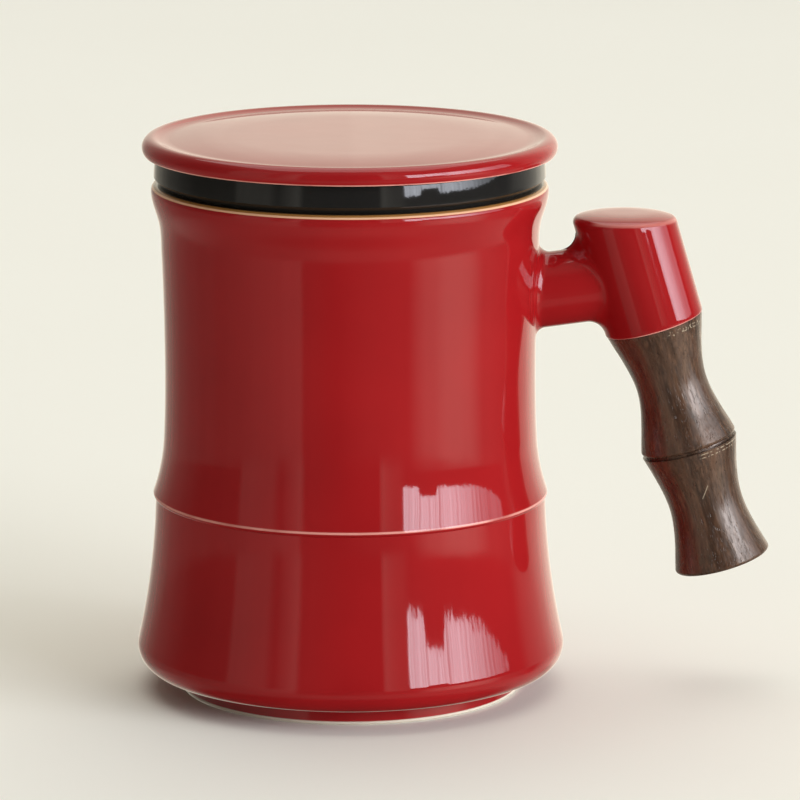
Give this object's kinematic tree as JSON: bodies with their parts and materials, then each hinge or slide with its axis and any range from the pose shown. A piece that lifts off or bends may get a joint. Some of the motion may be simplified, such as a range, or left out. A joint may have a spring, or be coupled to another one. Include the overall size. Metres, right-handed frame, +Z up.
{
  "type": "tea cup",
  "caption": "Glazed ceramic tea cup shaped like a bamboo stem, with a hanging ceramic infuser, a lift-off lid with a raised rim and a turned wooden grip on a slanted boss.",
  "frame": {"origin": "centre of the foot ring's standing face", "axes": "+Z up along the cup's axis, +X towards the handle"},
  "size_m": [0.1317, 0.089, 0.1162],
  "materials": {
    "red_glaze": "gloss",
    "black_glaze": "gloss",
    "walnut": "satin",
    "steel": "plain",
    "epoxy": "cured"
  },
  "bodies": {
    "cup": {"cup_body": "red_glaze", "handle_grip": "walnut", "handle_stud": "steel", "socket_epoxy": "epoxy"},
    "infuser": {"infuser": "black_glaze"},
    "lid": {"lid": "red_glaze"}
  },
  "joints": [
    {"name": "infuser_lift", "type": "slide", "parent": "cup", "child": "infuser", "axis": [0, 0, 1], "range_m": [0, 0.08]},
    {"name": "lid_lift", "type": "slide", "parent": "infuser", "child": "lid", "axis": [0, 0, 1], "range_m": [0, 0.05]}
  ]
}
